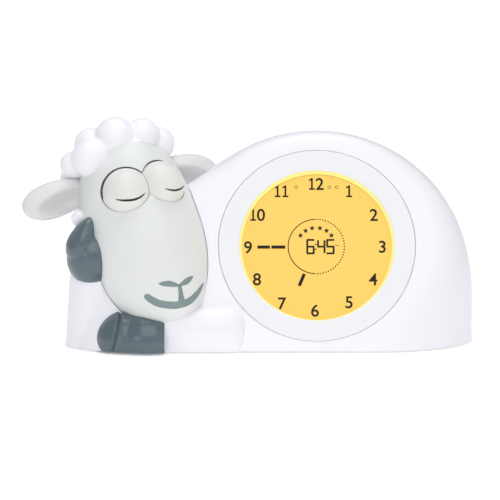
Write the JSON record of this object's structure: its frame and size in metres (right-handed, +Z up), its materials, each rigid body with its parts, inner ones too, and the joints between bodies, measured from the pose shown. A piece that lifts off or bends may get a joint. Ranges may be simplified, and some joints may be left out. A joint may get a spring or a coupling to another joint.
{
  "type": "alarm clock",
  "caption": "Children's alarm clock and night light: a white dome with a round glowing dial and a sleeping sheep's head whose eyes turn open.",
  "frame": {"origin": "on the table, under the middle of the clock's whole outline", "axes": "+X to the viewer's right along the clock's length, +Y to its back, +Z up"},
  "size_m": [0.2723, 0.095, 0.1381],
  "materials": {
    "white_housing": "satin",
    "face_plastic": "satin",
    "wool_plastic": "satin",
    "hoof_plastic": "satin",
    "dial_screen": "smooth",
    "glow_ring": "smooth",
    "clear_guide": "clear",
    "inner_plastic": "matte",
    "button_plastic": "satin",
    "door_plastic": "satin",
    "board": "satin",
    "chips": "matte",
    "led": "smooth",
    "ribbon": "satin",
    "steel": "brushed",
    "gear_plastic": "satin",
    "brass": "machined",
    "paper_cone": "matte",
    "cells": "satin",
    "foot_rubber": "matte"
  },
  "bodies": {
    "housing": {"front_shell": "white_housing", "rear_shell": "white_housing", "housing_screws": "steel", "rubber_feet": "foot_rubber", "dial_bezel": "white_housing", "light_ring": "glow_ring", "lcd_panel": "dial_screen", "light_guide": "clear_guide", "display_frame": "inner_plastic", "light_board": "board", "light_leds": "led", "main_board": "board", "board_chips": "chips", "ribbon_cable": "ribbon", "tact_switches": "chips", "keypad_board": "board", "battery_box": "inner_plastic", "batteries": "cells", "battery_contacts": "steel", "speaker_frame": "steel", "speaker_cone": "paper_cone", "speaker_magnet": "steel", "switch_body": "chips", "power_inlet": "chips", "inlet_pin": "steel", "face_shell": "face_plastic", "wool_cap": "wool_plastic", "wool_curls": "wool_plastic", "ear_left": "face_plastic", "ear_right": "face_plastic", "hoof_floor": "hoof_plastic", "hoof_cheek": "hoof_plastic", "eye_motor": "steel", "eye_bracket": "inner_plastic", "head_screws": "steel", "neck_tube": "inner_plastic", "neck_nut": "inner_plastic"},
    "eyes": {"eye_left": "face_plastic", "eye_right": "face_plastic", "eye_shaft": "steel", "eye_gear": "gear_plastic"},
    "pinion": {"motor_pinion": "brass", "motor_shaft": "steel"},
    "switch": {"switch_knob": "button_plastic"},
    "door": {"battery_door": "door_plastic", "door_screw": "steel"},
    "time_button": {"time_button": "button_plastic"},
    "alarm_button": {"alarm_button": "button_plastic"},
    "minus_button": {"minus_button": "button_plastic"},
    "plus_button": {"plus_button": "button_plastic"},
    "sound_button": {"sound_button": "button_plastic"},
    "light_button": {"light_button": "button_plastic"}
  },
  "joints": [
    {"name": "eyes_turn", "type": "hinge", "parent": "housing", "child": "eyes", "pos_m": [-0.06347, -0.01714, 0.09662], "axis": [-0.9165, -0.3711, -0.1496], "range_deg": [0, 75]},
    {"name": "pinion_spin", "type": "hinge", "parent": "housing", "child": "pinion", "pos_m": [-0.06951, 0.00148, 0.08749], "axis": [-0.9165, -0.3711, -0.1496], "range_deg": [-335, 5]},
    {"name": "switch_slide", "type": "slide", "parent": "housing", "child": "switch", "axis": [1, 0, 0], "range_m": [0, 0.004]},
    {"name": "door_turn", "type": "hinge", "parent": "housing", "child": "door", "pos_m": [0.022, 0.04498, 0.01277], "axis": [-1, 0, 0], "range_deg": [0, 75]},
    {"name": "time_press", "type": "slide", "parent": "housing", "child": "time_button", "axis": [0, -0.9962, -0.0872], "range_m": [0, 0.001], "stiffness_N_per_m": 800},
    {"name": "alarm_press", "type": "slide", "parent": "housing", "child": "alarm_button", "axis": [0, -0.9962, -0.0872], "range_m": [0, 0.001], "stiffness_N_per_m": 800},
    {"name": "minus_press", "type": "slide", "parent": "housing", "child": "minus_button", "axis": [0, -0.9962, -0.0872], "range_m": [0, 0.001], "stiffness_N_per_m": 800},
    {"name": "plus_press", "type": "slide", "parent": "housing", "child": "plus_button", "axis": [0, -0.9962, -0.0872], "range_m": [0, 0.001], "stiffness_N_per_m": 800},
    {"name": "sound_press", "type": "slide", "parent": "housing", "child": "sound_button", "axis": [0, -0.9962, -0.0872], "range_m": [0, 0.001], "stiffness_N_per_m": 800},
    {"name": "light_press", "type": "slide", "parent": "housing", "child": "light_button", "axis": [0, -0.9962, -0.0872], "range_m": [0, 0.001], "stiffness_N_per_m": 800}
  ],
  "couplings": [
    {"joint": "pinion_spin", "follows": "eyes_turn", "ratio": -4.4}
  ]
}
